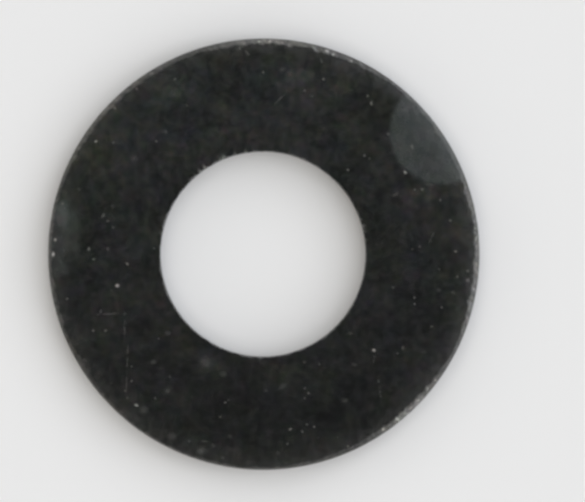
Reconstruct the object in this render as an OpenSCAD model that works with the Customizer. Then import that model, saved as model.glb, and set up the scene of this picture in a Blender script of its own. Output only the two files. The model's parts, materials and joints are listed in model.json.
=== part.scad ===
// Flat washer with an unchamfered edge, for an M4 screw: one ring stamped from steel sheet.
// The bore's axis is Z and the underside lies on z = 0, so the face with the rolled rim looks up.
// The punch goes through the sheet twice: it pierces the bore from below, which rolls the bore's
// lip on the underside and breaks the metal away near the upper face, and it blanks the ring from
// below as well, which rolls the rim on the upper face and breaks it away near the underside.

/* [Ring] */
// Outside diameter, mm
outer_d = 9; // [8:0.1:24]
// Bore diameter, mm
bore_d = 4.3; // [1.7:0.1:6.4]
// Thickness, mm
thickness = 0.8; // [0.5:0.1:2.5]

/* [Rim] */
// Width of the rolled shoulder round the upper face, mm
shoulder_w = 0.14; // [0.04:0.01:0.2]
// Depth of the rolled shoulder, mm
shoulder_h = 0.1; // [0.04:0.01:0.15]
// Height of the sheared band under the shoulder, as a share of the thickness
rim_land = 0.45; // [0.2:0.05:0.6]
// How far the broken wall under the sheared band has drawn in at the underside, mm
rim_draw = 0.04; // [0.01:0.01:0.1]

/* [Bore] */
// Width of the rolled lip where the bore meets the underside, mm
lip_w = 0.08; // [0.04:0.01:0.2]
// Height of the rolled lip, mm
lip_h = 0.07; // [0.04:0.01:0.15]
// Height of the true round wall above the lip, as a share of the thickness
bore_land = 0.5; // [0.2:0.05:0.6]
// How far the bore has opened at the upper face, mm
bore_draw = 0.03; // [0.01:0.01:0.1]

/* [Hidden] */
$fn = 180;
// Straight steps in each rolled edge
ARC_STEPS = 8;
OUTER_R = outer_d / 2;
BORE_R = bore_d / 2;
RIM_BREAK_Z = thickness - shoulder_h - rim_land * thickness;
BORE_BREAK_Z = lip_h + bore_land * thickness;

// Points along a quarter of an ellipse with half axes w and h, from one angle to another
function quarter(centre, w, h, from, to) = [
    for (i = [0:ARC_STEPS])
        let (a = from + (to - from) * i / ARC_STEPS)
            centre + [w * cos(a), h * sin(a)]
];

// Half section of the ring in the plane through its axis: bore side first, then the rim
function section() = concat(
    quarter([BORE_R + lip_w, lip_h], lip_w, lip_h, 270, 180),
    [[BORE_R, BORE_BREAK_Z], [BORE_R + bore_draw, thickness]],
    quarter([OUTER_R - shoulder_w, thickness - shoulder_h], shoulder_w, shoulder_h, 90, 0),
    [[OUTER_R, RIM_BREAK_Z], [OUTER_R - rim_draw, 0]]
);

module washer() {
    color([0.15, 0.15, 0.15])
        rotate_extrude()
            polygon(section());
}

washer();
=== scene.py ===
"""The looks of the flat washer: one steel ring, stamped from sheet and blackened, on a pale table.

One ring of the CAD outline takes the place of the plain CAD node and adds what the press, the
blackening drum and handling leave behind: a rolled rim of uneven width, sheared and broken bands
on both walls, crumbs of burr along the bore, and rubs, stains and specks in the black coat. Some
light is painted into the coat: a painted sheen towards +Y and on the worn rim, and painted glints
on the rim's strikes and the bore's burr.
Lengths are in millimetres until the mesh is made and angles run anticlockwise from +X.
"""

import json
import math

import bpy
import numpy as np
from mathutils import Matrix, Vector


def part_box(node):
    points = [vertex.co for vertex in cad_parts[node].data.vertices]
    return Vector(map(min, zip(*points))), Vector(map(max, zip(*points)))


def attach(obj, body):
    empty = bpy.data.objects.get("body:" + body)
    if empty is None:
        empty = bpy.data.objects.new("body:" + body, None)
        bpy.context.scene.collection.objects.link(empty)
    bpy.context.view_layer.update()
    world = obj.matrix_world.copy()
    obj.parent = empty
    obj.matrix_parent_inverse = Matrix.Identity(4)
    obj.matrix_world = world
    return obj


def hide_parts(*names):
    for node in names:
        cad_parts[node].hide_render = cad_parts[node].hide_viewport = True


MM = 0.001
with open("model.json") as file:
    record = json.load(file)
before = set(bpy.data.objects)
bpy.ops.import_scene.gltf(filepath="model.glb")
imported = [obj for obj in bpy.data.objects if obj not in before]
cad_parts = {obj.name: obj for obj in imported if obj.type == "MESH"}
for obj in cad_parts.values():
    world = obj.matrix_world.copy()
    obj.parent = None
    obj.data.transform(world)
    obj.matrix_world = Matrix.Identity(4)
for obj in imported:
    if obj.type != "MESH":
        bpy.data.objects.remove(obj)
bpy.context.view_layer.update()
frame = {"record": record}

# ---------------------------------------------------------------- sizes, in mm
_, WASHER_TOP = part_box("washer")
BORE_MOUNT = next(m for m in frame["record"]["mounts"] if m["name"] == "bore")
OUTER_R = WASHER_TOP.x / MM
THICKNESS = WASHER_TOP.z / MM
BORE_R = BORE_MOUNT["dims"]["r_mm"]

# The rolled shoulder round the upper face, then the sheared and the broken band under it
SHOULDER_W = 0.14
SHOULDER_H = 0.10
RIM_BREAK_Z = 0.34
RIM_DRAW = 0.04
# The rolled lip under the bore, then the sheared and the broken band above it
LIP_W = 0.08
LIP_H = 0.07
BORE_BREAK_Z = 0.47
BORE_DRAW = 0.02
# How far the punch stood from the middle, and how much the bore closed up behind it
BORE_SHIFT = 0.018
BORE_CLOSE = 0.008
# Where the upper face starts to sink towards the shoulder, and how far it sinks
SINK_START_R = 4.0
SINK_DEPTH = 0.022
# How far the rim's wall stands inside the outline, so that most of its scores stay within it
RIM_INSET = 0.004
# How far from the bore's edge its bright burr and painted glints have faded to about a third
BURR_GLINT_REACH = 0.028

# Points round the ring, and steps across each stretch of the section
AROUND = 1000
FACE_STEPS = 30
SHOULDER_STEPS = 12
SHEARED_STEPS = 7
BROKEN_STEPS = 10
UNDERSIDE_STEPS = 12
LIP_STEPS = 6

ANGLE = np.linspace(0, 2 * np.pi, AROUND, endpoint=False)[:, None]

# What each point of the surface can be, from 0 to 1: on a sheared or a broken band, rolled over,
# rubbed by handling, worn thin along the rim and lightened there by painted sheen, or bright with
# burr and painted glints
SHARES = ("sheared", "broken", "rolled", "handled", "worn", "burr")

# Bumps and hollows along the edges: direction and width in degrees, and size in mm
BORE_CRUMBS = [
    (6, 2, 0.012),
    (11, 3, 0.015),
    (14, 2, 0.02),
    (22, 2, 0.015),
    (92, 3, 0.012),
    (99, 2, 0.015),
    (105, 2, 0.02),
    (114, 1.6, 0.03),
    (121, 2.2, 0.035),
    (129, 3, 0.03),
    (135.5, 2, 0.025),
    (168, 3, 0.015),
    (194, 2, 0.02),
    (236, 2.5, 0.02),
    (265, 3, 0.02),
    (295, 2, 0.02),
    (338, 3, 0.015),
]
BORE_BITES = [
    (16, 1.2, 0.03),
    (19.5, 1.2, 0.025),
    (158, 2, 0.015),
]
# Where the bore's edge carries bright burr with painted glints: direction and width in degrees, and
# how much
BORE_BURR_AND_GLINTS = [
    (14, 14, 0.6),
    (118, 26, 1.5),
    (170, 14, 0.4),
    (265, 16, 0.3),
]
# Where the rim is worn and lightened by a painted sheen: direction and width in degrees, and how much
RIM_WEAR_AND_SHEEN = [
    (6, 24, 1.4),
    (84, 30, 1.1),
    (145, 50, 0.9),
    (195, 30, 0.6),
    (314, 14, 2.2),
    (346, 22, 1.6),
]
RIM_DENTS = [
    (3, 0.8, 0.012),
    (6, 0.7, 0.010),
    (13, 0.8, 0.014),
    (17, 0.7, 0.012),
    (20, 0.6, 0.010),
    (75.3, 0.9, 0.020),
    (83, 0.8, 0.010),
    (305, 0.7, 0.012),
    (313, 0.7, 0.012),
    (321, 0.8, 0.010),
    (347, 0.8, 0.014),
    (350.5, 0.8, 0.012),
    (354, 0.7, 0.012),
    (357, 0.6, 0.010),
]


# ---------------------------------------------------------------- random waves round the ring
def ripple(slowest, fastest, seed, fall=0.5, lean=0.0):
    """A random wave round the ring, mostly within -1 to 1, of whole numbers of cycles.

    lean is how far round it is moved, in degrees, at each point across the ring.
    """
    rng = np.random.default_rng(seed)
    cycles = np.arange(slowest, fastest + 1)
    phase = rng.uniform(0, 2 * np.pi, cycles.size)
    angle = (ANGLE + np.radians(lean))[..., None]
    wave = (cycles**-fall * np.sin(angle * cycles + phase)).sum(axis=-1)
    return wave / (2 * wave.std())


def grain(height, finest, seed, waves=140):
    """Random roughness over a wall, mostly within -1 to 1, at each angle and height."""
    rng = np.random.default_rng(seed)
    field = np.zeros(np.broadcast_shapes(ANGLE.shape, height.shape))
    for _ in range(waves):
        cycles = rng.integers(15, finest)
        rise = rng.normal(0, finest / OUTER_R / 2)
        field += np.sin(ANGLE * cycles + height * rise + rng.uniform(0, 2 * np.pi))
    return field / (2 * field.std())


def hump(centre, width):
    """1 in one direction, in degrees, falling smoothly to 0 at a width to either side."""
    gap = np.abs((np.degrees(ANGLE) - centre + 180) % 360 - 180) / width
    return np.where(gap < 1, 0.5 + 0.5 * np.cos(np.pi * gap), 0)


def steps(count):
    """Even shares from just above 0 up to 1."""
    return np.arange(1, count + 1) / count


# ---------------------------------------------------------------- the ring's surface
def make_section():
    """Radius, height and each of the surface shares at every point of the ring.

    The section runs from the bore's upper edge across the upper face, over the shoulder, down
    the rim, back along the underside and up the bore.
    """
    # The shoulder is narrow all down the left, by the upper right stain and at the lower right
    shoulder = 1.0 - 0.2 * hump(10, 30) - 0.35 * hump(46, 26) - 0.3 * hump(334, 14)
    shoulder = shoulder - 0.3 * hump(170, 60) - 0.5 * hump(250, 70)
    shoulder = shoulder + 0.13 * ripple(3, 26, seed=1) + 0.12 * ripple(24, 110, seed=2)
    shoulder_w = SHOULDER_W * shoulder
    shoulder_h = SHOULDER_H * np.sqrt(shoulder)

    # Crumbs of burr stand into the bore along its upper edge, the largest at the upper left, and
    # the burr is lightened there with painted glints
    crumbs = sum(size * hump(centre, width) for centre, width, size in BORE_CRUMBS)
    burr = sum(share * hump(centre, width) for centre, width, share in BORE_BURR_AND_GLINTS)
    burr = np.clip(burr * ripple(24, 120, seed=16), 0, 1)
    crumbs = crumbs + 0.010 * np.maximum(ripple(40, 200, seed=3), 0) ** 2
    bites = sum(size * hump(centre, width) for centre, width, size in BORE_BITES)
    bore_r = BORE_R - BORE_CLOSE - BORE_SHIFT * np.cos(ANGLE)
    bore_edge = bore_r + BORE_DRAW - crumbs + bites + 0.014 * ripple(4, 70, seed=4)
    # Handling has rubbed the lower left most
    handled = 0.45 + 0.5 * hump(215, 80)

    parts = {name: [] for name in ("radius", "height", *SHARES)}

    def add(r, z, **shares):
        shape = np.broadcast_shapes(ANGLE.shape, np.shape(r), np.shape(z))
        values = {"radius": r, "height": z, **{name: shares.get(name, 0) for name in SHARES}}
        for name, value in values.items():
            parts[name].append(np.broadcast_to(value, shape))

    # Upper face, with points closest together at its two edges
    across = 0.5 - 0.5 * np.cos(np.pi * np.arange(FACE_STEPS + 1) / FACE_STEPS)
    face_r = bore_edge + (OUTER_R - shoulder_w - bore_edge) * across
    towards_rim = (face_r - SINK_START_R) / (OUTER_R - SHOULDER_W - SINK_START_R)
    sink = SINK_DEPTH * np.clip(towards_rim, 0, None) ** 2
    add(
        face_r,
        THICKNESS - sink,
        handled=handled * np.clip(towards_rim, 0, 1),
        burr=burr * np.exp((bore_edge - face_r) / BURR_GLINT_REACH),
    )

    # Shoulder, uneven all round and dented here and there
    turn = np.pi / 2 * (1 - steps(SHOULDER_STEPS))
    edge_z = THICKNESS - sink[:, -1:]
    low_z = THICKNESS - shoulder_h
    dents = sum(size * hump(centre, width) for centre, width, size in RIM_DENTS)
    dents = dents + 0.003 * grain(low_z + SHOULDER_H * np.sin(turn), 300, seed=5)
    dents = dents * np.sin(2 * turn)
    shoulder_r = OUTER_R - shoulder_w * (1 - np.cos(turn)) - dents
    shoulder_z = low_z + (edge_z - low_z) * np.sin(turn) - dents
    # The wear and its painted sheen come in slanting strokes, which lean one way on one half of the
    # rim and the other way on the other half
    worn = sum(share * hump(centre, width) for centre, width, share in RIM_WEAR_AND_SHEEN)
    lean = np.where(ANGLE < np.pi, -3, 3) * steps(SHOULDER_STEPS)
    worn = worn * np.clip(0.6 + 0.8 * ripple(70, 320, seed=21, lean=lean), 0, 1.3)
    add(
        shoulder_r,
        shoulder_z,
        rolled=np.sin(2 * turn),
        handled=handled,
        worn=worn * np.sin(2 * turn) ** 1.2,
    )

    # Sheared band of the rim, drawn with fine upright scores
    scores = 0.0022 * ripple(160, 480, seed=6, fall=0) + 0.003 * ripple(4, 30, seed=7)
    rim_break = RIM_BREAK_Z + 0.035 * ripple(3, 40, seed=8) + 0.012 * ripple(60, 200, seed=9)
    down = steps(SHEARED_STEPS)
    sheared_z = low_z + (rim_break - low_z) * down
    add(OUTER_R - RIM_INSET + scores, sheared_z, sheared=1)

    # Broken band of the rim: torn, and drawing in towards the underside
    down = steps(BROKEN_STEPS)
    broken_z = rim_break * (1 - down)
    torn = 0.011 * grain(broken_z, 260, seed=10) - 0.008
    fade = np.sin(np.pi * np.clip(down * 1.1, 0, 1)) ** 0.5
    add(OUTER_R - RIM_INSET - RIM_DRAW * down + torn * fade, broken_z, broken=1)

    # Underside, back to the lip
    across = steps(UNDERSIDE_STEPS)
    outer_edge = OUTER_R - RIM_INSET - RIM_DRAW
    add(outer_edge + (bore_r + LIP_W - outer_edge) * across, 0 * ANGLE)

    # Rolled lip of the bore
    turn = np.pi / 2 * (3 - steps(LIP_STEPS))
    lip = 1 + 0.15 * ripple(3, 30, seed=11)
    lip_r = bore_r + LIP_W * lip + LIP_W * lip * np.cos(turn)
    add(lip_r, LIP_H + LIP_H * np.sin(turn), rolled=0.5)

    # Sheared band of the bore
    bore_scores = 0.0018 * ripple(110, 360, seed=12, fall=0)
    bore_break = BORE_BREAK_Z + 0.035 * ripple(3, 30, seed=13) + 0.012 * ripple(40, 160, seed=14)
    up = steps(SHEARED_STEPS)
    add(bore_r + 0.002 + bore_scores, LIP_H + (bore_break - LIP_H) * up, sheared=1)

    # Broken band of the bore, up to the edge where the section began
    up = steps(BROKEN_STEPS)[:-1]
    torn_z = bore_break + (THICKNESS - bore_break) * up
    torn = 0.010 * grain(torn_z, 140, seed=15) + 0.006
    fade = np.sin(np.pi * up) ** 0.5
    broken_r = bore_r + (bore_edge - bore_r) * up**1.5 + torn * fade
    add(broken_r, torn_z, broken=1, burr=burr * up**4)

    return {name: np.concatenate(values, axis=1) for name, values in parts.items()}


def texture_layout(mesh, radius, height, underside_start, lip_start):
    """The layout of the textures: the underside as one disc, and all the rest as another.

    The second disc is the upper face as seen from above, with the rim's wall folded out round
    it and the bore's wall folded in, so no seam crosses any face that shows.
    """
    count = radius.shape[1]
    walk = np.hypot(np.diff(radius, axis=1), np.diff(height, axis=1)).mean(axis=0)
    walk = np.concatenate([[0], np.cumsum(walk)])
    start = radius[:, 0].mean()
    wall_back = np.hypot(radius[:, 0] - radius[:, -1], height[:, 0] - height[:, -1]).mean()
    open_r = np.where(np.arange(count) < lip_start, start + walk, 0)
    backwards = start - wall_back - (walk[-1] - walk)
    open_r = np.where(np.arange(count) >= lip_start, backwards, open_r)

    margin = 0.004
    open_size = 0.343
    under_size = 0.235
    open_scale = open_size / open_r[: underside_start + 1].max()
    under_scale = under_size / OUTER_R
    direction = np.concatenate([np.cos(ANGLE), np.sin(ANGLE)], axis=1)[:, None, :]
    open_uv = margin + open_size + direction * (open_r * open_scale)[None, :, None]
    mirrored = direction * np.array([-1, 1])
    under_uv = 1 - margin - under_size + mirrored * (radius * under_scale)[:, :, None]

    corners = np.empty(len(mesh.loops), dtype=np.int32)
    mesh.loops.foreach_get("vertex_index", corners)
    on_underside = np.zeros(count, dtype=bool)
    on_underside[underside_start:lip_start] = True
    face_column = np.repeat(np.tile(np.arange(count), AROUND), 4)
    layer = mesh.uv_layers.new(name="OFBake")
    uv = np.where(
        on_underside[face_column][:, None],
        under_uv.reshape(-1, 2)[corners],
        open_uv.reshape(-1, 2)[corners],
    )
    layer.data.foreach_set("uv", uv.astype(np.float32).ravel())


def make_ring():
    """The ring as one closed mesh, with the surface shares kept on it."""
    section = make_section()
    radius = section["radius"]
    height = section["height"]
    count = radius.shape[1]
    points = np.stack([radius * np.cos(ANGLE), radius * np.sin(ANGLE), height], axis=2) * MM
    i, j = np.meshgrid(np.arange(AROUND), np.arange(count), indexing="ij")
    next_i = (i + 1) % AROUND
    next_j = (j + 1) % count
    faces = np.stack(
        [i * count + j, i * count + next_j, next_i * count + next_j, next_i * count + j], axis=2
    )
    mesh = bpy.data.meshes.new("washer_ring")
    mesh.from_pydata(points.reshape(-1, 3).tolist(), [], faces.reshape(-1, 4).tolist())
    for name in SHARES:
        layer = mesh.attributes.new(name, "FLOAT", "POINT")
        layer.data.foreach_set("value", section[name].astype(np.float32).ravel())
    underside_start = FACE_STEPS + SHOULDER_STEPS + SHEARED_STEPS + BROKEN_STEPS
    lip_start = underside_start + UNDERSIDE_STEPS
    texture_layout(mesh, radius, height, underside_start, lip_start)
    mesh.shade_smooth()
    mesh.set_sharp_from_angle(angle=math.radians(50))
    ring = bpy.data.objects.new("washer_ring", mesh)
    bpy.context.scene.collection.objects.link(ring)
    return ring


# ---------------------------------------------------------------- material nodes
COAT = (0.0070, 0.0085, 0.0076)
STAINED = (0.037, 0.046, 0.0435)
# Light colour of rubbed coat, also used for the painted glints and painted sheen on the rim and burr
RUBBED_AND_HIGHLIGHT = (0.32, 0.315, 0.29)
SHEARED_STEEL = (0.045, 0.046, 0.045, 1)
BROKEN_STEEL = (0.022, 0.021, 0.020, 1)
# How far under the upper face the marks on it start to fade and have ended, in mm
MARKS_FADE = 0.08
MARKS_END = 0.12
# The stains on the upper face: x, y, length and width in mm, and turn in degrees
LEFT_STAIN = (-4.35, 0.45, 1.5, 2.3, 0)
ROUND_STAIN = (3.72, 2.55, 2.43, 2.43, 0)


def node(tree, kind, inputs=None, **settings):
    """A shader node with its settings, its inputs either linked or set to a value."""
    made = tree.nodes.new("ShaderNode" + kind)
    for name, value in settings.items():
        setattr(made, name, value)
    for key, value in (inputs or {}).items():
        if isinstance(value, bpy.types.NodeSocket):
            tree.links.new(value, made.inputs[key])
        else:
            made.inputs[key].default_value = value
    return made


def calc(tree, operation, first, second=0.0, third=0.0):
    """One sum on two or three values, any of which may be a socket."""
    return node(tree, "Math", {0: first, 1: second, 2: third}, operation=operation).outputs[0]


def scaled(tree, value, start, end, low=0.0, high=1.0):
    """value taken smoothly from start..end to low..high, and held there beyond them."""
    inputs = {"Value": value, "From Min": start, "From Max": end, "To Min": low, "To Max": high}
    return node(tree, "MapRange", inputs, interpolation_type="SMOOTHSTEP").outputs["Result"]


def noise(tree, place, per_mm, detail=2.0, seed=0.0, even=0.5):
    """A noise with about this many blotches to a millimetre, and finer ones that are as strong
    when even is 1 and half as strong at each step when it is 0.5."""
    inputs = {"Vector": place, "W": seed, "Scale": per_mm, "Detail": detail, "Roughness": even}
    return node(tree, "TexNoise", inputs, noise_dimensions="4D")


def strayed(tree, place, reaches):
    """The place moved at random by up to half of each reach, so that marks get ragged edges."""
    shift = noise(tree, place, 9, 2, seed=3).outputs["Color"]
    inputs = {0: shift, 1: (0.5, 0.5, 0.5)}
    shift = node(tree, "VectorMath", inputs, operation="SUBTRACT").outputs[0]
    places = []
    for reach in reaches:
        inputs = {0: shift, 1: (reach, reach, reach), 2: place}
        places.append(node(tree, "VectorMath", inputs, operation="MULTIPLY_ADD").outputs[0])
    return places


def drifted(tree, place, colour, per_mm, detail, shade, tint, seed):
    """A colour made lighter and darker by shade, and drifting between hues by tint."""
    made = noise(tree, place, per_mm, detail, seed, even=1.0)
    light = calc(tree, "MULTIPLY_ADD", made.outputs["Fac"], shade, 1 - shade / 2)
    reach = Vector((tint, 0.8 * tint, tint))
    inputs = {0: made.outputs["Color"], 1: reach, 2: Vector((1, 1, 1)) - reach / 2}
    hue = node(tree, "VectorMath", inputs, operation="MULTIPLY_ADD").outputs[0]
    factor = node(tree, "VectorMath", {0: hue, 3: light}, operation="SCALE").outputs[0]
    return node(tree, "VectorMath", {0: colour, 1: factor}, operation="MULTIPLY").outputs[0]


def mixed(tree, share, first, second):
    """Two colours mixed by a share."""
    made = node(tree, "Mix", data_type="RGBA")
    for socket, value in zip((made.inputs[0], made.inputs[6], made.inputs[7]), (share, first, second)):
        if isinstance(value, bpy.types.NodeSocket):
            tree.links.new(value, socket)
        else:
            socket.default_value = value
    return made.outputs[2]


def spot(tree, place, mark):
    """1 in the middle of an oval mark, falling to 0 at its edge."""
    x, y, length, width, turn = mark
    if turn == 0:
        stretch = {0: place, 1: (2 / length, 2 / width, 0), 2: (-2 * x / length, -2 * y / width, 0)}
        moved = node(tree, "VectorMath", stretch, operation="MULTIPLY_ADD").outputs[0]
        reach = node(tree, "VectorMath", {0: moved}, operation="LENGTH").outputs["Value"]
        return scaled(tree, reach, 0.1, 1.0, 1.0, 0.0)
    turn = math.radians(turn)
    along = Vector((math.cos(turn), math.sin(turn), 0)) * 2 / length
    across = Vector((-math.sin(turn), math.cos(turn), 0)) * 2 / width
    moved = node(tree, "VectorMath", {0: place, 1: (x, y, 0)}, operation="SUBTRACT").outputs[0]
    first = node(tree, "VectorMath", {0: moved, 1: along}, operation="DOT_PRODUCT").outputs["Value"]
    second = node(tree, "VectorMath", {0: moved, 1: across}, operation="DOT_PRODUCT").outputs["Value"]
    square = calc(tree, "MULTIPLY_ADD", first, first, calc(tree, "MULTIPLY", second, second))
    return scaled(tree, calc(tree, "SQRT", square), 0.1, 1.0, 1.0, 0.0)


def spots(tree, place, marks):
    """A group of oval marks as one mask, which fades out a little under the upper face."""
    height = node(tree, "SeparateXYZ", {0: place}).outputs["Z"]
    total = 0.0
    for mark in marks:
        total = calc(tree, "MAXIMUM", total, spot(tree, place, mark))
    on_top = scaled(tree, height, THICKNESS - MARKS_END, THICKNESS - MARKS_FADE)
    return calc(tree, "MULTIPLY", total, on_top)


# Marks on the upper face: x, y, length and width in mm, and the turn of the long side in degrees
LIGHT_CLOUDS = [
    (-1.00, 2.45, 0.9, 0.7, 0),
    (-1.80, 3.50, 2.4, 0.8, 30),
    (0.60, 3.70, 2.8, 0.8, 0),
    (-3.50, 0.00, 0.8, 1.0, 0),
    (-3.50, -1.80, 0.9, 1.2, 20),
    (-2.55, -3.00, 0.9, 0.8, 0),
    (-1.30, -4.00, 1.6, 0.6, -15),
    (-1.10, -2.40, 0.8, 0.6, 0),
    (0.60, -2.45, 0.8, 0.5, 0),
    (-4.20, 0.90, 0.6, 0.7, 0),
    (3.75, -0.80, 0.9, 1.6, 0),
    (3.40, 1.20, 1.2, 0.6, 0),
]
DARK_CLOUDS = [
    (1.90, 2.95, 1.3, 1.0, -30),
    (1.45, 2.35, 0.8, 0.8, 0),
    (-2.70, 1.20, 0.9, 0.7, 0),
    (2.00, 1.90, 0.9, 0.9, 0),
    (0.90, 2.70, 1.2, 0.6, 0),
    (-2.30, 2.10, 1.0, 0.7, 45),
    (-0.90, -3.10, 2.2, 1.2, 0),
    (0.30, -3.20, 1.4, 0.9, 0),
    (1.70, -2.70, 1.1, 1.0, 0),
    (-1.70, -2.50, 0.8, 0.7, 0),
    (2.60, 0.20, 0.8, 1.2, 0),
    (-2.50, -1.50, 0.7, 0.9, 0),
    (1.30, -3.40, 0.8, 0.7, 0),
]
BLUE_CLOUDS = [
    (3.15, -0.10, 1.0, 1.3, 0),
    (2.60, -1.80, 0.9, 1.3, -30),
    (2.90, -2.50, 0.9, 0.8, 0),
    (0.30, -3.10, 1.7, 0.8, 0),
    (1.80, -2.80, 1.1, 0.8, 0),
    (-2.90, 2.40, 1.0, 0.8, 45),
    (-1.60, 2.50, 0.9, 0.8, 0),
    (1.50, 2.30, 0.9, 0.8, 0),
    (2.90, 3.00, 0.6, 0.5, 0),
    (-3.85, -0.75, 0.5, 0.4, 0),
]
OLIVE_CLOUDS = [
    (-3.80, 0.40, 1.0, 1.8, 0),
    (-3.50, 2.00, 1.0, 0.9, 0),
    (-1.70, -1.90, 1.1, 0.9, 40),
    (0.50, -2.45, 2.0, 0.6, 0),
    (-1.50, -3.60, 1.2, 0.7, 0),
    (0.10, 4.10, 2.8, 0.6, 0),
    (0.00, -4.15, 2.8, 0.6, 0),
    (2.40, -0.10, 0.6, 2.6, 0),
    (2.40, 3.10, 1.4, 0.7, -30),
    (-3.40, -1.90, 1.0, 1.0, 0),
]
BARE_SPECKS = [
    (-3.05, -0.65, 0.12, 0.10, 0),
    (-2.65, -3.15, 0.10, 0.07, -20),
    (2.30, -2.00, 0.10, 0.08, 0),
    (2.95, 1.70, 0.11, 0.07, -40),
    (-4.35, 0.30, 0.08, 0.08, 0),
    (-3.50, 2.35, 0.08, 0.07, 0),
]
DULL_SPECKS = [
    (3.15, 1.35, 0.06, 0.06, 0),
    (3.30, 1.35, 0.10, 0.09, 0),
    (2.10, 2.05, 0.09, 0.08, 0),
    (2.20, 2.00, 0.07, 0.06, 0),
    (1.75, 1.75, 0.08, 0.07, 0),
    (2.25, 3.15, 0.12, 0.07, 90),
    (3.10, 2.25, 0.12, 0.06, 95),
    (3.60, 2.55, 0.09, 0.07, 0),
    (2.60, 2.50, 0.08, 0.08, 0),
    (3.90, 0.70, 0.09, 0.08, 0),
    (3.25, 0.15, 0.08, 0.07, 0),
    (3.10, 0.10, 0.07, 0.07, 0),
    (4.00, 0.05, 0.10, 0.08, 0),
    (4.25, -0.35, 0.09, 0.08, 0),
    (4.25, -0.55, 0.13, 0.11, 0),
    (3.15, -0.90, 0.07, 0.07, 0),
    (3.15, -1.05, 0.07, 0.06, 0),
    (2.70, -0.70, 0.08, 0.08, 0),
    (3.50, -1.50, 0.07, 0.07, 0),
    (2.90, -1.95, 0.11, 0.07, 80),
    (2.40, -2.65, 0.12, 0.05, 90),
    (0.85, -2.25, 0.09, 0.07, 0),
    (0.85, -2.80, 0.08, 0.07, 0),
    (0.85, -3.00, 0.08, 0.06, 0),
    (0.90, -3.55, 0.08, 0.07, 0),
    (1.05, -3.60, 0.07, 0.07, 0),
    (0.55, -3.65, 0.09, 0.07, 0),
    (0.80, -3.70, 0.07, 0.08, 0),
    (0.50, -3.95, 0.07, 0.07, 0),
    (1.75, -4.00, 0.10, 0.08, 0),
    (-3.65, 0.10, 0.11, 0.09, 90),
    (-3.25, 0.10, 0.14, 0.08, 90),
    (-3.55, -0.10, 0.09, 0.07, 0),
    (-3.35, 0.80, 0.16, 0.08, 60),
    (-3.25, 0.70, 0.09, 0.07, 0),
    (-3.15, 0.55, 0.08, 0.08, 0),
    (-3.10, 3.05, 0.07, 0.07, 0),
    (-2.65, 3.45, 0.07, 0.06, 0),
    (-1.60, 3.10, 0.07, 0.06, 0),
    (-1.85, 3.65, 0.10, 0.06, 30),
    (-4.20, 1.05, 0.08, 0.07, 0),
    (-2.85, -0.20, 0.12, 0.07, -60),
    (-2.90, -1.25, 0.09, 0.08, 0),
    (-3.40, -1.20, 0.13, 0.06, 85),
    (-3.55, -1.60, 0.08, 0.08, 0),
    (-3.30, -1.60, 0.08, 0.08, 0),
    (-2.85, -3.00, 0.09, 0.07, 0),
    (-2.25, -3.00, 0.06, 0.06, 0),
    (-2.75, -2.65, 0.07, 0.07, 0),
    (-2.75, -2.35, 0.07, 0.06, 0),
    (-0.80, -3.10, 0.08, 0.07, 0),
    (-0.90, -3.40, 0.08, 0.06, 0),
    (-1.55, -3.90, 0.09, 0.08, 0),
    (1.25, 3.65, 0.09, 0.08, 0),
    (-0.50, 4.30, 0.14, 0.05, 100),
    (-0.35, 4.20, 0.16, 0.05, 135),
]
SOFT_SMUDGES = [
    (-4.20, 0.75, 0.40, 0.55, 0),
    (-2.50, -3.25, 0.28, 0.24, 0),
    (-2.30, -2.25, 0.16, 0.14, 0),
    (-2.00, -2.85, 0.20, 0.16, 40),
    (-1.90, -3.80, 0.30, 0.22, 0),
    (-1.30, -4.10, 0.34, 0.22, 0),
    (-1.05, -4.00, 0.16, 0.12, 0),
    (-0.85, -4.25, 0.14, 0.10, 0),
    (-0.70, -3.80, 0.14, 0.10, 0),
    (-1.20, -2.25, 0.44, 0.36, 0),
    (-0.85, -2.50, 0.22, 0.18, 0),
    (-2.00, -1.65, 0.20, 0.16, 0),
    (-3.75, -2.20, 0.14, 0.12, 0),
    (-3.15, 1.00, 0.12, 0.10, 0),
    (-2.70, 2.00, 0.22, 0.18, 0),
    (-2.05, 2.55, 0.14, 0.12, 0),
    (-3.85, 1.35, 0.12, 0.10, 0),
    (3.35, -2.05, 0.14, 0.10, 0),
    (1.70, -3.05, 0.20, 0.16, 0),
    (1.90, -2.30, 0.16, 0.12, 0),
    (1.80, -1.65, 0.12, 0.10, 0),
    (3.95, -0.80, 0.16, 0.14, 0),
    (3.65, -0.75, 0.14, 0.14, 0),
    (0.40, -2.75, 0.38, 0.14, 35),
    (0.05, -2.85, 0.10, 0.10, 0),
    (0.30, -4.15, 0.14, 0.12, 0),
    (0.40, 3.85, 0.14, 0.12, 0),
    (1.00, 3.30, 0.12, 0.10, 0),
    (2.95, 3.00, 0.22, 0.12, 0),
    (2.75, 1.25, 0.24, 0.12, 30),
    (3.45, 1.45, 0.40, 0.08, -10),
]
SCRATCHES = [
    (-2.90, -1.55, 0.60, 0.040, 90),
    (-2.85, -2.40, 1.80, 0.030, 88),
    (-3.25, -1.25, 0.90, 0.030, 3),
    (-1.30, -3.90, 0.55, 0.035, -2),
    (2.43, -2.90, 0.45, 0.035, -82),
    (1.22, 4.00, 0.34, 0.045, -68),
    (0.35, 3.25, 0.70, 0.035, 45),
    (3.50, 0.35, 0.50, 0.030, 65),
    (2.30, -2.20, 0.30, 0.030, 80),
]
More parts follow.
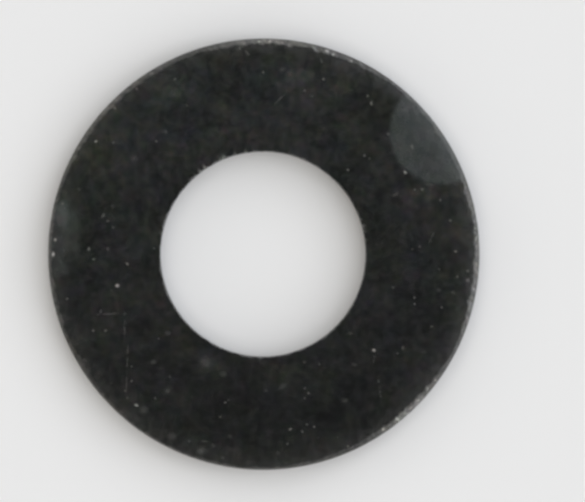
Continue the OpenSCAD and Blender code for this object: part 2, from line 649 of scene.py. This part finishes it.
# Bright spots on the rolled rim, partly chipped coat where something has struck it and partly painted
# glints
RIM_STRIKES_AND_GLINTS = [
    (3.59, -2.62, 0.07, 0.06, 0),
    (3.23, -3.05, 0.10, 0.07, 45),
    (3.00, -3.33, 0.07, 0.06, 0),
    (2.80, -3.45, 0.16, 0.09, -45),
    (2.50, -3.66, 0.09, 0.08, 0),
    (-0.10, 4.43, 0.09, 0.07, 0),
    (0.12, 4.43, 0.08, 0.06, 0),
    (1.32, 4.23, 0.14, 0.09, -20),
    (1.46, 4.17, 0.10, 0.08, -20),
    (1.83, 4.04, 0.09, 0.07, -25),
    (-4.39, 0.00, 0.14, 0.08, 90),
]


def clouded(tree, place, colour, clouds, change):
    """A colour multiplied by change inside some soft ovals."""
    changed = node(tree, "VectorMath", {0: colour, 1: change}, operation="MULTIPLY").outputs[0]
    return mixed(tree, spots(tree, place, clouds), colour, changed)


def make_black_steel():
    """Blackened steel: mottled near-black coat, stained, rubbed thin on the rim, torn on the walls,
    with painted sheen and painted glints.
    """
    material = bpy.data.materials.new("blackened_steel")
    material.use_nodes = True
    tree = material.node_tree
    tree.nodes.clear()

    coords = node(tree, "TexCoord").outputs["Object"]
    place = node(tree, "VectorMath", {0: coords, 3: 1 / MM}, operation="SCALE").outputs[0]
    near, far = strayed(tree, place, (0.07, 0.25))

    # Coat: a near black that drifts between green, blue and brown, with a blotchy stain at the left
    # and soft clouds all over; a painted sheen makes it lighter towards +Y and darker towards -Y
    colour = drifted(tree, place, COAT, 0.8, 4, 5.0, 1.3, seed=5)
    colour = drifted(tree, place, colour, 3.0, 2, 1.1, 1.2, seed=6)
    # Painted sheen: the coat's colour is scaled from darker at -Y to lighter at +Y
    far_up = node(tree, "SeparateXYZ", {0: place}).outputs["Y"]
    painted_sheen_slope = scaled(tree, far_up, -OUTER_R, OUTER_R, 0.65, 1.25)
    colour = node(tree, "VectorMath", {0: colour, 3: painted_sheen_slope}, operation="SCALE").outputs[0]
    stain_colour = drifted(tree, place, STAINED, 1.6, 2, 0.5, 0.4, seed=7)
    left = scaled(tree, spots(tree, far, [LEFT_STAIN]), 0.0, 0.4)
    blotchy = scaled(tree, noise(tree, place, 3, 3, seed=18).outputs["Fac"], 0.35, 0.6, 0.12, 0.5)
    colour = mixed(tree, calc(tree, "MULTIPLY", left, blotchy), colour, stain_colour)
    colour = clouded(tree, far, colour, LIGHT_CLOUDS, (1.6, 1.6, 1.55))
    colour = clouded(tree, far, colour, DARK_CLOUDS, (0.6, 0.6, 0.6))
    colour = clouded(tree, far, colour, BLUE_CLOUDS, (0.97, 0.98, 1.25))
    colour = clouded(tree, far, colour, OLIVE_CLOUDS, (1.03, 1.02, 0.82))

    # The round stain at the upper right
    stain = scaled(tree, spots(tree, near, [ROUND_STAIN]), 0.0, 0.08)
    colour = mixed(tree, calc(tree, "MULTIPLY", stain, 0.6), colour, stain_colour)

    # Rubbed coat: fine dots all over the ring, and the marks listed above; the strikes on the rim are
    # also painted glints
    dots = node(tree, "TexVoronoi", {"Vector": place, "Scale": 3.2})
    dot_size = scaled(tree, dots.outputs["Distance"], 0.03, 0.10, 1.0, 0.0)
    dot_pick = node(tree, "SeparateColor", {0: dots.outputs["Color"]}).outputs[0]
    dot_share = calc(tree, "MULTIPLY", dot_size, scaled(tree, dot_pick, 0.3, 1.0, 0.0, 0.25))
    gaps = scaled(tree, noise(tree, place, 14, 2, seed=12).outputs["Fac"], 0.38, 0.55)
    soft = calc(tree, "MULTIPLY", spots(tree, near, SOFT_SMUDGES), 0.07)
    uneven = scaled(tree, noise(tree, place, 2, 1, seed=15).outputs["Fac"], 0.35, 0.65, 0.09, 0.30)
    dull = calc(tree, "MULTIPLY", spots(tree, near, DULL_SPECKS), uneven)
    scratch = calc(tree, "MULTIPLY", spots(tree, place, SCRATCHES), gaps)
    bare = calc(tree, "MULTIPLY", spots(tree, near, BARE_SPECKS), 0.75)
    # Painted highlights: the rim's glints, painted as light rubbed coat
    strike_and_glint = spots(tree, near, RIM_STRIKES_AND_GLINTS)
    rub_and_highlight = dot_share
    for share in (soft, dull, calc(tree, "MULTIPLY", scratch, 0.14), bare, strike_and_glint):
        rub_and_highlight = calc(tree, "MAXIMUM", rub_and_highlight, share)

    # Edges: the coat is thin wherever the sheet is rolled over, handled or worn, and nearly gone
    # on the burr; the worn rim also carries painted sheen and the burr painted glints
    patchy = noise(tree, place, 8, 3, seed=11).outputs["Fac"]
    rolled = node(tree, "Attribute", attribute_name="rolled").outputs["Fac"]
    thin = calc(tree, "MULTIPLY", rolled, scaled(tree, patchy, 0.40, 0.75, 0.0, 0.12))
    rub_and_highlight = calc(tree, "MAXIMUM", rub_and_highlight, thin)
    handled = node(tree, "Attribute", attribute_name="handled").outputs["Fac"]
    rub_and_highlight = calc(tree, "MULTIPLY_ADD", handled, scaled(tree, patchy, 0.3, 0.7, 0.015, 0.06), rub_and_highlight)
    # Painted sheen: the worn rim gets the light rubbed colour, partly wear and partly light caught by
    # the rolled edge
    worn = node(tree, "Attribute", attribute_name="worn").outputs["Fac"]
    sparkle = noise(tree, place, 16, 2, seed=14, even=0.8).outputs["Fac"]
    rub_and_highlight = calc(tree, "MULTIPLY_ADD", worn, scaled(tree, sparkle, 0.40, 0.65, 0.08, 0.45), rub_and_highlight)
    # Painted highlights: the burr is lightened as glints, partly bare steel and partly light caught
    # from the right
    burr = node(tree, "Attribute", attribute_name="burr").outputs["Fac"]
    rub_and_highlight = calc(tree, "MULTIPLY_ADD", burr, 0.8, rub_and_highlight)
    # This light colour paints both the real rubs and the painted glints and sheen
    rubbed_and_highlight = drifted(tree, place, RUBBED_AND_HIGHLIGHT, 1.8, 2, 0.8, 0.5, seed=8)

    # Walls: thinner coat on the sheared bands, and dull grey where the steel has torn
    sheared = node(tree, "Attribute", attribute_name="sheared").outputs["Fac"]
    broken = node(tree, "Attribute", attribute_name="broken").outputs["Fac"]
    colour = mixed(tree, calc(tree, "MULTIPLY", sheared, 0.25), colour, SHEARED_STEEL)
    colour = mixed(tree, calc(tree, "MULTIPLY", broken, 0.35), colour, BROKEN_STEEL)
    colour = mixed(tree, rub_and_highlight, colour, rubbed_and_highlight)

    # Gloss: satin, duller in the round stain, on the torn walls and where the sheet is rolled
    gloss = noise(tree, place, 6, 3, seed=13).outputs["Fac"]
    rough = scaled(tree, gloss, 0.3, 0.7, 0.18, 0.27)
    rough = calc(tree, "MULTIPLY_ADD", stain, 0.04, rough)
    rough = calc(tree, "MULTIPLY_ADD", broken, 0.42, rough)
    rough = calc(tree, "MULTIPLY_ADD", rolled, 0.10, rough)

    # Relief: the sheet is slightly wavy, with a fine grain, and grooves where it is scratched
    fine = noise(tree, place, 40, 3, seed=17).outputs["Fac"]
    wavy = noise(tree, place, 3, 1, seed=22).outputs["Fac"]
    coarse = noise(tree, place, 12, 2, seed=19).outputs["Fac"]
    relief = calc(tree, "ADD", calc(tree, "MULTIPLY", fine, 0.6), coarse)
    relief = calc(tree, "MULTIPLY_ADD", wavy, 2.5, relief)
    relief = calc(tree, "SUBTRACT", relief, calc(tree, "MULTIPLY", scratch, 0.6))
    bump = node(tree, "Bump", {"Height": relief, "Strength": 0.5, "Distance": 0.004 * MM})

    shader = node(
        tree,
        "BsdfPrincipled",
        {
            "Base Color": colour,
            "Roughness": rough,
            "Normal": bump.outputs[0],
            "Specular IOR Level": 1.0,
            "Specular Tint": (1.0, 0.99, 0.965, 1),
        },
    )
    node(tree, "OutputMaterial", {"Surface": shader.outputs[0]})
    return material


# ---------------------------------------------------------------- table, light and camera
TABLE_COLOUR = (0.797, 0.803, 0.790, 1)
TABLE_SIZE = 2.0
LIGHT_DISTANCE = 1.5
# The light on the table as a share of what would make a white one white
FULL_LIGHT = 0.955
ROOM_LIGHT = 0.08
# The table stands this far under the washer, so that the two faces don't lie in one plane
TABLE_DROP = 0.002
# The camera: its lens in mm, and where it stands and the width it sees, in mm on the washer
LENS = 600
CAMERA_X = 0.600
CAMERA_Y = 0.065
FRAME_WIDTH = 12.2
# Width of the pixel filter: wider than usual, because the photo's edges are soft
FILTER_PIXELS = 3.0
# The direction, in degrees, that most of the light comes from
BRIGHT_SIDE = 20
# Rings of softboxes: name, elevation and spread in degrees, how many, the share of the table's
# light that each gives, and how much that share grows towards the bright side
LIGHT_RINGS = [
    ("low", 14, 28, 8, 0.012, 0.0),
    ("middle", 36, 28, 8, 0.037, 0.030),
    ("high", 58, 24, 8, 0.031, 0.028),
    ("above", 76, 28, 4, 0.100, 0.0),
]


def make_table():
    """The plain pale table that the washer lies on."""
    half = TABLE_SIZE / 2
    drop = -TABLE_DROP * MM
    mesh = bpy.data.meshes.new("table")
    corners = [(-half, -half, drop), (half, -half, drop), (half, half, drop), (-half, half, drop)]
    mesh.from_pydata(corners, [], [(0, 1, 2, 3)])
    table = bpy.data.objects.new("table", mesh)
    bpy.context.scene.collection.objects.link(table)
    material = bpy.data.materials.new("table")
    material.use_nodes = True
    shader = material.node_tree.nodes["Principled BSDF"]
    shader.inputs["Base Color"].default_value = TABLE_COLOUR
    shader.inputs["Roughness"].default_value = 0.9
    shader.inputs["Specular IOR Level"].default_value = 0.1
    mesh.materials.append(material)


def soft_light(name, azimuth, elevation, spread, share):
    """A round softbox that faces the washer: its spread is seen from there, in degrees.

    share is the part of the table's light that comes from it.
    """
    azimuth = math.radians(azimuth)
    elevation = math.radians(elevation)
    away = Vector(
        (
            math.cos(azimuth) * math.cos(elevation),
            math.sin(azimuth) * math.cos(elevation),
            math.sin(elevation),
        )
    )
    light = bpy.data.lights.new(name, "AREA")
    light.shape = "DISK"
    light.size = 2 * LIGHT_DISTANCE * math.tan(math.radians(spread / 2))
    light.energy = share * FULL_LIGHT * (math.pi * LIGHT_DISTANCE) ** 2 / math.sin(elevation)
    lamp = bpy.data.objects.new(name, light)
    lamp.location = away * LIGHT_DISTANCE
    lamp.rotation_euler = away.to_track_quat("Z", "Y").to_euler()
    bpy.context.scene.collection.objects.link(lamp)
    return lamp


def make_lights():
    """Four rings of softboxes, two of them brighter on one side, and a dim room.

    The light from above stands round the lens, so it is left out of reflections: a flat face
    seen straight on reflects only the dark lens.
    """
    for ring, elevation, spread, count, share, swing in LIGHT_RINGS:
        for number in range(count):
            azimuth = number * 360 / count
            side = math.cos(math.radians(azimuth - BRIGHT_SIDE))
            name = f"{ring}_{number}"
            lamp = soft_light(name, azimuth, elevation, spread, share + swing * side)
            lamp.visible_glossy = ring != "above"
            # The bright side is cooler and the other side warmer
            lamp.data.color = (1.02 - 0.05 * side, 1.0, 1.0 + 0.08 * side)
    world = bpy.data.worlds.new("room")
    world.use_nodes = True
    background = world.node_tree.nodes["Background"]
    background.inputs["Color"].default_value = (ROOM_LIGHT, ROOM_LIGHT, ROOM_LIGHT, 1)
    bpy.context.scene.world = world


def make_camera():
    """Straight down on the washer, a little right of its middle, through a long lens."""
    data = bpy.data.cameras.new("camera")
    data.lens = LENS
    distance = FRAME_WIDTH * MM * LENS / data.sensor_width
    data.clip_start = 0.01
    data.clip_end = 4
    camera = bpy.data.objects.new("camera", data)
    camera.location = (CAMERA_X * MM, CAMERA_Y * MM, THICKNESS * MM + distance)
    bpy.context.scene.collection.objects.link(camera)
    bpy.context.scene.camera = camera


def make_scene():
    """The ring in the washer's place, on its table, with the lights and the camera."""
    ring = make_ring()
    ring.data.materials.append(make_black_steel())
    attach(ring, "root")
    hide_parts("washer")
    make_table()
    make_lights()
    make_camera()
    scene = bpy.context.scene
    scene.view_settings.view_transform = "Standard"
    scene.cycles.use_denoising = True
    scene.cycles.filter_width = FILTER_PIXELS


make_scene()
